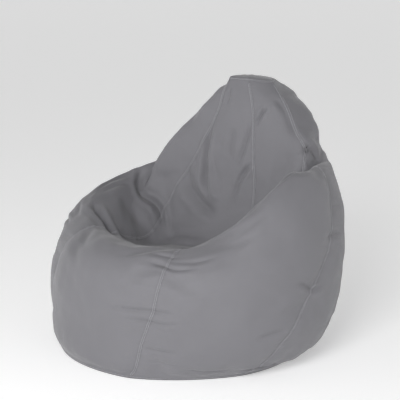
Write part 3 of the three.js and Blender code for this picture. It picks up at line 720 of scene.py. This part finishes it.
def coil_material(name, colour):
    """Nylon zip teeth with fine mould lines."""
    material, tree, shader = new_material(name, colour, 0.42)
    place = node(tree, "TexCoord").outputs["Object"]
    grain = noise(tree, place, 900, 3)
    shade(tree, shader, colour, maths(tree, "MULTIPLY_ADD", grain, 0.3, 0.85))
    tree.links.new(maths(tree, "MULTIPLY_ADD", grain, 0.2, 0.32), shader.inputs["Roughness"])
    bump(tree, shader, grain, 0.08 * MM, 0.4)
    return material


GREY = (0.152, 0.15, 0.162)
COVER = woven("cover_cloth", GREY, 1.1 * MM)
FELL = woven("seam_cloth", tuple(0.97 * c for c in GREY), 1.1 * MM, uneven=0.05, marks=False)
THREAD = thread_material("topstitch_thread", (0.42, 0.42, 0.44))
LINER = woven("liner_cloth", (0.74, 0.72, 0.68), 0.7 * MM, sheen=0.1, marks=False)
BEADS = bead_material("foam_beads", (0.86, 0.86, 0.84))
TAPE = woven("zip_tape", (0.13, 0.13, 0.14), 0.6 * MM, on_uv=False, marks=False)
COIL = coil_material("zip_teeth", (0.09, 0.09, 0.10))
METAL = metal_material("zip_metal", (0.55, 0.55, 0.57))


# ---------------------------------------- the cover
GORE_ROWS = 440
NEAR_SEAM = np.array([0, 1.6, 3.2, 4.8, 6.8, 9.5, 13, 17.5, 23]) * MM
MIDDLE_COLUMNS = 32


def half_slot(k, t):
    """Half the gap between the two gores at seam k, which opens at the rear into the zip's window."""
    if k % GORES != REAR:
        return np.full_like(t, SEAM_GAP / 2)
    lift = smooth(t, ZIP_FROM - ZIP_LEAD_IN, ZIP_FROM) * (1 - smooth(t, ZIP_TO, ZIP_TO + ZIP_LEAD_OUT))
    return SEAM_GAP / 2 + (ZIP_HALF_WINDOW - SEAM_GAP / 2) * lift


def gore_angles(k, t):
    """The turn at each column of gore k, with narrow columns beside its seams."""
    a0, a1 = seam_angle(k, t), seam_angle(k + 1, t)
    m0, m1 = metres_per_radian(a0, t), metres_per_radian(a1, t)
    near = [a0 + (half_slot(k, t) + d) / m0 for d in NEAR_SEAM]
    far = [a1 - (half_slot(k + 1, t) + d) / m1 for d in NEAR_SEAM[::-1]]
    share = np.linspace(0, 1, MIDDLE_COLUMNS + 2)[1:-1]
    middle = [near[-1] + (far[0] - near[-1]) * s for s in share]
    return np.stack(near + middle + far, 1)


def surface_normals(grid):
    return unit(np.cross(np.gradient(grid, axis=1), np.gradient(grid, axis=0)))


def cloth_uv(grid):
    """Metres across and up the cloth, measured from the middle column."""
    across = np.concatenate([np.zeros((len(grid), 1)), np.cumsum(
        np.linalg.norm(np.diff(grid, axis=1), axis=-1), axis=1)], 1)
    middle = grid.shape[1] // 2
    up = np.concatenate([[0], np.cumsum(np.linalg.norm(np.diff(grid[:, middle], axis=0), axis=-1))])
    return np.stack([across - across[:, middle:middle + 1], np.broadcast_to(up[:, None], across.shape)], -1)


def both_sides(uv):
    """The map of a sheet's outer grid, repeated for its inner one."""
    return np.tile(uv.reshape(-1, 2), (2, 1))


def make_gore(k):
    t = even_rows(GORE_ROWS)
    angles = gore_angles(k, t)
    rows = np.broadcast_to(t[:, None], angles.shape)
    grid, fold, seam = cover(k, angles, rows)
    inner = grid - surface_normals(grid) * COVER_THICKNESS
    points, faces = shell(grid, inner)
    uv = cloth_uv(grid)
    marks = {"fold": np.tile(fold.reshape(-1), 2), "seam": np.tile(seam.reshape(-1), 2)}
    name = "gore_" + GORE_NAMES[k]
    piece = add_piece(name, points, faces, COVER, ["cover_" + name], marks, both_sides(uv))


def beside_seam(k, s, t):
    """Points of the cover at signed distance s from seam k, to its right when positive."""
    a = seam_angle(k, t)
    turned = a + s / metres_per_radian(a, t)
    side = k if np.mean(s) >= 0 else k - 1
    if side < 0:
        return cover(GORES - 1, turned + 2 * math.pi, t)[0]
    return cover(side, turned, t)[0]


# The fell's section: signed share of its half width, and share of its thickness.
FELL_SECTION = [(-1, 0.05), (-0.93, 0.75), (-0.66, 1), (-0.3, 0.86), (0.001, 0.7), (0.3, 0.86), (0.66, 1),
                (0.93, 0.75), (1, 0.05)]
FELL_LIFT = 0.35 * MM
FELL_UNDERSIDE = 0.3 * FELL_LIFT
FELL_STEP = 3.2 * MM
STITCH_LINE_STEP = 1.1 * MM
STITCH_BED = FELL_LIFT + 0.95 * FELL_THICKNESS


def seam_normal(k, t):
    """Outward normals along seam k."""
    offsets = (-FELL_WIDTH / 2, 1e-6, FELL_WIDTH / 2)
    left, centre, right = (beside_seam(k, np.full_like(t, s), t) for s in offsets)
    return unit(np.cross(right - left, np.gradient(centre, axis=0)))


def add_strip(name, over, under, closed=False):
    """A strip of seam cloth between two grids, in place of the CAD's node of the same name."""
    points, faces = shell(over, under, closed)
    add_piece(name, points, faces, FELL, ["seam_" + name], uv=both_sides(cloth_uv(over)))


def make_fell(k, t0, t1, name):
    v0, v1 = np.interp([t0, t1], FINE_T, SEAM_CLIMB[k])
    t = np.append(np.interp(np.arange(v0, v1, FELL_STEP), SEAM_CLIMB[k], FINE_T), t1)
    normal = seam_normal(k, t)
    over, under = [], []
    for share, high in FELL_SECTION:
        base = beside_seam(k, np.full_like(t, share * FELL_WIDTH / 2), t)
        under.append(base + normal * FELL_UNDERSIDE)
        over.append(base + normal * (FELL_LIFT + FELL_THICKNESS * high))
    add_strip(name, np.stack(over, 1), np.stack(under, 1))
    lines = [stitch_line(k, s, t0, t1) for s in (-STITCH_FROM_SEAM, STITCH_FROM_SEAM)]
    make_stitches("stitch_" + name, *lines)


STITCH_SIDES = 6
# A stitch's rings: share of its length, share of its radius, and rise in radii.
STITCH_RINGS = [(0, 0.35, -0.5), (0.2, 0.95, 0.2), (0.5, 1.0, 0.45), (0.8, 0.95, 0.2), (1, 0.35, -0.5)]


def stitch_line(k, s, t0, t1):
    """A dense line of points and normals for a row of stitches beside seam k."""
    v0, v1 = np.interp([t0, t1], FINE_T, SEAM_CLIMB[k])
    v = np.arange(v0 + STITCH_END_MARGIN, v1 - STITCH_END_MARGIN, STITCH_LINE_STEP)
    t = np.interp(v, SEAM_CLIMB[k], FINE_T)
    normal = seam_normal(k, t)
    return beside_seam(k, np.full_like(t, s), t) + normal * STITCH_BED, normal


def stitch_points(line, normal):
    """Rings of points of every stitch on one line."""
    far = np.concatenate([[0], np.cumsum(np.linalg.norm(np.diff(line, axis=0), axis=1))])
    starts = np.arange(0, far[-1] - STITCH_LENGTH, STITCH_PITCH)

    def at(values, where):
        return np.stack([np.interp(where, far, values[:, c]) for c in range(3)], -1)

    a, b = at(line, starts), at(line, starts + STITCH_LENGTH)
    up = unit(at(normal, starts + STITCH_LENGTH / 2))
    across = unit(np.cross(b - a, up))
    rings = []
    for share, fat, rise in STITCH_RINGS:
        middle = a + (b - a) * share + up * rise * STITCH_RADIUS
        for m in range(STITCH_SIDES):
            turn = 2 * math.pi * m / STITCH_SIDES
            rings.append(middle + STITCH_RADIUS * fat * (across * math.cos(turn) + up * math.sin(turn)))
    return np.stack(rings, 1)


def make_stitches(name, *lines):
    points = np.concatenate([stitch_points(*line) for line in lines])
    count, each = points.shape[:2]
    one = [grid_faces(len(STITCH_RINGS), STITCH_SIDES, True)[:, ::-1]]
    last = each - STITCH_SIDES
    caps = [[0, m, m + 1, m + 1] for m in range(1, STITCH_SIDES - 1)]
    caps += [[last, last + m + 1, last + m, last + m] for m in range(1, STITCH_SIDES - 1)]
    one = np.concatenate(one + [np.array(caps)])
    faces = (one[None] + (np.arange(count) * each)[:, None, None]).reshape(-1, 4)
    add_piece(name, points.reshape(-1, 3), faces, THREAD)


def round_the_bag(t, columns=60, lift=0.0):
    """One closed row of the cover's points at t, over all the gores."""
    row = []
    for k in range(GORES):
        share = np.arange(columns) / columns
        ts = np.full(columns, t)
        a0, a1 = seam_angle(k, ts), seam_angle(k + 1, ts)
        a = a0 + (a1 - a0) * share
        row.append(cover(k, a, ts)[0] + skin_normal(a, ts) * lift)
    return np.concatenate(row)


# The band's section: share of its width, and share of its thickness.
BAND_SECTION = [(0, 0.1), (0.08, 0.8), (0.3, 1), (0.5, 0.9), (0.7, 1), (0.92, 0.8), (1, 0.1)]
BAND_LINE_PARTS = 8  # points on the stitch line for each step round the bag
BAND_STITCH_LIFT = 0.1 * MM


def make_band(name, t0, t1):
    over, under = [], []
    for share, high in BAND_SECTION:
        t = t0 + (t1 - t0) * share
        over.append(round_the_bag(t, lift=FELL_LIFT + FELL_THICKNESS * high))
        under.append(round_the_bag(t, lift=FELL_UNDERSIDE))
    add_strip(name, np.stack(over), np.stack(under), closed=True)
    middle = over[len(over) // 2]
    steps = zip(middle, np.roll(middle, -1, 0))
    line = np.concatenate([np.linspace(a, b, BAND_LINE_PARTS, endpoint=False) for a, b in steps])
    outward = unit(line - line.mean(0)) * [1, 1, 0]
    make_stitches("stitch_" + name, (line + outward * BAND_STITCH_LIFT, unit(outward)))


CAP_RINGS = 16
CAP_LIFT = 0.4 * MM
CAP_GATHER = (0.6 * MM, 0.03, 5)  # height, wavelength and seed


def make_cap():
    """The small six-sided panel at the top, gathered a little at its edge and domed by the filling."""
    edge = round_the_bag(float(TOP))
    middle = edge.mean(0)
    height, wavelength, seed = CAP_GATHER
    rings = []
    for share in 1 - np.arange(CAP_RINGS) / CAP_RINGS:
        p = middle + (edge - middle) * share
        rise = CAP_DOME * (1 - share**2.2) + CAP_LIFT + height * waves(p, wavelength, seed) * (1 - share)
        rings.append(p + [0, 0, 1] * rise[:, None])
    high = np.stack(rings)
    closed_disc("top_cap", high - [0, 0, COVER_THICKNESS], high, COVER, "cover_top_cap")


def polar_disc(edge, z, rings=24):
    """A flat panel on an outline, as rings towards its middle."""
    middle = edge.mean(0)
    grid = np.stack([middle + (edge - middle) * (1 - i / rings) for i in range(rings)])
    grid[..., 2] = z
    return grid


def closed_disc(name, low, high, material, replaced):
    """A thin disc between two sets of rings, the upper one `high`."""
    rings, columns = low.shape[:2]
    points = np.concatenate([high.reshape(-1, 3), low.reshape(-1, 3), [high[-1].mean(0)], [low[-1].mean(0)]])
    count = rings * columns
    j = np.arange(columns)
    k = (j + 1) % columns
    faces = np.concatenate([
        grid_faces(rings, columns, True), grid_faces(rings, columns, True, count)[:, ::-1],
        np.stack([count + j, count + k, k, j], -1),
        fan(count - columns, columns, 2 * count),
        fan(2 * count - columns, columns, 2 * count + 1, flip=True)])
    piece = add_piece(name, points, faces, material, [replaced], uv=points[:, :2])


def make_base():
    edge = round_the_bag(0.0)
    low, high = (polar_disc(edge, BASE_OVER_FLOOR + z) for z in (0, COVER_THICKNESS))
    closed_disc("base_panel", low, high, COVER, "cover_base_panel")


# ---------------------------------------- liner and filling
INSIDE_ROWS = 150
INSIDE_COLUMNS = 30
LOWEST_WITHIN = 3  # cells
FOOT_LIFT, HEAD_DROP = 3 * MM, 4 * MM  # the inside layers' ends stand off the base panel and the cap
END_SHARE = 0.03  # share of the rows over which they do
FILLING_LIFT = 1.5  # times the liner's
TOP_DROP, TOP_DOME = 0.6 * MM, 5 * MM
INNER_RINGS = 8
INNER_BASE_RINGS = 12
INNER_BASE_SIZE = 0.995
INNER_PANELS = ["front_right", "rear", "left"]


def inside_grid():
    """The cover's shape on an even grid, lowered so that layers lie under its folds, and its normals."""
    t = even_rows(INSIDE_ROWS)
    columns = []
    for k in range(GORES):
        for a in even_columns(k, t, INSIDE_COLUMNS):
            p, n = cover(k, a, t, fine=False)[0], skin_normal(a, t)
            height = ((p - gore_point(k, a, t)) * n).sum(-1, keepdims=True)
            columns.append(np.concatenate([p, n, height], -1))
    p, n, height = np.split(np.stack(columns, 1), [3, 6], -1)
    # down to the lowest cover height within a few cells all round, then eased
    lowest = height
    for axis in (0, 1):
        for _ in range(LOWEST_WITHIN):
            lowest = np.minimum(lowest, np.minimum(np.roll(lowest, 1, axis), np.roll(lowest, -1, axis)))
    drop = lowest - height
    for _ in range(2):
        drop = (2 * drop + np.roll(drop, 1, 1) + np.roll(drop, -1, 1)) / 4
        drop[1:-1] = (2 * drop[1:-1] + drop[2:] + drop[:-2]) / 4
    return p + n * drop, n


def make_inner_panels(outer, inner):
    """Three panels of liner, with a slit between neighbours."""
    for n, name in enumerate(INNER_PANELS):
        first = 2 * n * INSIDE_COLUMNS
        columns = np.arange(first, first + 2 * INSIDE_COLUMNS + 1) % outer.shape[1]
        part = [g[:, columns] for g in (outer, inner)]
        for g in part:
            g[:, 0] += unit(g[:, 1] - g[:, 0]) * LINER_SLIT / 2
            g[:, -1] += unit(g[:, -2] - g[:, -1]) * LINER_SLIT / 2
        points, faces = shell(*part)
        uv = cloth_uv(part[0])
        piece = add_piece("inner_panel_" + name, points, faces, LINER, ["liner_panel_" + name],
                          uv=both_sides(uv))


def make_inner_ends(outer):
    """The liner's top and base."""
    top_edge = outer[-1] - [0, 0, TOP_DROP]
    high = polar_disc(top_edge, 0, INNER_RINGS)
    high[..., 2] = top_edge[:, 2] + TOP_DOME * smooth(np.arange(INNER_RINGS) / INNER_RINGS, 0, 1)[:, None]
    closed_disc("inner_top", high - [0, 0, LINER_THICKNESS], high, LINER, "liner_top")
    edge = outer[0] * [INNER_BASE_SIZE, INNER_BASE_SIZE, 1]
    low, high = (polar_disc(edge, LINER_OVER_FLOOR + z, INNER_BASE_RINGS) for z in (0, LINER_THICKNESS))
    closed_disc("inner_base", low, high, LINER, "liner_base")


def make_filling(body):
    rows, columns = body.shape[:2]
    body[0, :, 2] = np.maximum(body[0, :, 2], FILLING_OVER_FLOOR)
    points = np.concatenate([body.reshape(-1, 3), [body[0].mean(0)], [body[-1].mean(0)]])
    count = rows * columns
    faces = np.concatenate([grid_faces(rows, columns, True), fan(0, columns, count, flip=True),
                            fan(count - columns, columns, count + 1)])
    filling = add_piece("filling", points, faces, BEADS, ["bead_filling"])


def make_inside():
    grid, normal = inside_grid()
    share = np.linspace(0, 1, INSIDE_ROWS)[:, None]
    lift = np.zeros((INSIDE_ROWS, 1, 3))
    lift[..., 2] = FOOT_LIFT * (1 - smooth(share, 0, END_SHARE)) - HEAD_DROP * smooth(share, 1 - END_SHARE, 1)
    outer = grid - normal * LINER_DEPTH + lift
    make_inner_panels(outer, outer - normal * LINER_THICKNESS)
    make_inner_ends(outer)
    make_filling(grid - normal * FILLING_DEPTH + lift * FILLING_LIFT)


# ---------------------------------------- zip
def finish_node(name, material):
    """A CAD node keeps its shape and takes a better material."""
    piece = frame["nodes"][name]
    for slot in piece.material_slots:
        slot.material = material


def make_zip():
    for side in ("left", "right"):
        finish_node("zip_tape_" + side, TAPE)
        finish_node("zip_teeth_" + side, COIL)
        finish_node("zip_top_stop_" + side, METAL)
    for name in ("zip_bottom_stop", "zip_slider", "zip_pull"):
        finish_node(name, METAL)
    # two rows of stitches that hold the tape, either side of the window
    v0, v1 = np.interp([ZIP_FROM, ZIP_TO], FINE_T, SEAM_CLIMB[REAR])
    t = np.interp(np.arange(v0, v1, STITCH_LINE_STEP), SEAM_CLIMB[REAR], FINE_T)
    lines = []
    for offset in ZIP_STITCH_ROWS:
        for side in (-1, 1):
            s = np.full_like(t, side * (ZIP_HALF_WINDOW + offset))
            line = beside_seam(REAR, s, t)
            normal = unit((line - ZIP_AXIS) * [0, 1, 1])
            lines.append((line + normal * 0.15 * MM, normal))
    make_stitches("stitch_zip", *lines)


# ---------------------------------------- stage
FLOOR_HALF = 200
FLOOR_COLOUR = (0.94, 0.94, 0.94)
FLOOR_GLOW = 0.26
WALLS_UP_TO, CEILING_FROM = 0.1, 0.65  # as the height of a direction, 1 for straight up
WALL_LIGHT, CEILING_LIGHT = 1.6, 0.22
KEY_PLACE, KEY_TARGET = (1.15, -3.4, 2.0), (0, 0, 0.4)
KEY_SIZE, KEY_POWER = 1.6, 104
CAMERA_TURN, CAMERA_RISE, CAMERA_DISTANCE = math.radians(36), math.radians(12), 3.3
CAMERA_TARGET = Vector((0, 0.02, 0.483))
SENSOR_WIDTH, LENS = 36, 90  # millimetres


def make_floor():
    mesh = bpy.data.meshes.new("floor")
    corners = [(x * FLOOR_HALF, y * FLOOR_HALF, 0) for x, y in ((-1, -1), (1, -1), (1, 1), (-1, 1))]
    mesh.from_pydata(corners, [], [(0, 1, 2, 3)])
    material, _, shader = new_material("floor", FLOOR_COLOUR, 0.9)
    shader.inputs["Emission Color"].default_value = (1, 1, 1, 1)
    shader.inputs["Emission Strength"].default_value = FLOOR_GLOW
    mesh.materials.append(material)
    floor = bpy.data.objects.new("floor", mesh)
    bpy.context.scene.collection.objects.link(floor)


def make_world():
    """Pale walls and a darker ceiling."""
    world = bpy.data.worlds.new("studio")
    bpy.context.scene.world = world
    world.use_nodes = True
    tree = world.node_tree
    parts = node(tree, "SeparateXYZ")
    tree.links.new(node(tree, "TexCoord").outputs["Generated"], parts.inputs[0])
    strength = node(tree, "MapRange", interpolation_type="SMOOTHSTEP")
    tree.links.new(parts.outputs[2], strength.inputs["Value"])
    for socket, value in (("From Min", WALLS_UP_TO), ("From Max", CEILING_FROM),
                          ("To Min", WALL_LIGHT), ("To Max", CEILING_LIGHT)):
        strength.inputs[socket].default_value = value
    tree.links.new(strength.outputs[0], tree.nodes["Background"].inputs["Strength"])
    tree.nodes["Background"].inputs["Color"].default_value = (1, 1, 1, 1)


def look_at(thing, place, target):
    thing.location = place
    thing.rotation_mode = "QUATERNION"
    thing.rotation_quaternion = (Vector(target) - Vector(place)).to_track_quat("-Z", "Y")


def make_key_light():
    light = bpy.data.lights.new("key", "AREA")
    light.size = KEY_SIZE
    light.energy = KEY_POWER
    lamp = bpy.data.objects.new("key", light)
    bpy.context.scene.collection.objects.link(lamp)
    look_at(lamp, KEY_PLACE, KEY_TARGET)


def make_camera():
    level = math.cos(CAMERA_RISE)
    back = Vector((math.sin(CAMERA_TURN) * level, -math.cos(CAMERA_TURN) * level, math.sin(CAMERA_RISE)))
    camera = bpy.data.cameras.new("camera")
    camera.sensor_width = SENSOR_WIDTH
    camera.lens = LENS
    eye = bpy.data.objects.new("camera", camera)
    bpy.context.scene.collection.objects.link(eye)
    look_at(eye, CAMERA_TARGET + back * CAMERA_DISTANCE, CAMERA_TARGET)
    bpy.context.scene.camera = eye


make_camera()
for k in range(GORES):
    make_gore(k)
for k in range(GORES):
    if k != REAR:
        make_fell(k, FELL_FROM, FELL_TO, "fell_" + SEAM_NAMES[k])
make_fell(REAR, FELL_FROM, ZIP_FROM - ZIP_LEAD_IN, "fell_rear_lower")
make_fell(REAR, ZIP_TO + ZIP_LEAD_OUT, FELL_TO, "fell_rear_upper")
make_band("band_base", *BASE_BAND)
make_band("band_cap", *CAP_BAND)
make_cap()
make_base()
make_inside()
make_zip()
make_floor()
make_world()
make_key_light()
bpy.context.scene.view_settings.view_transform = "Standard"
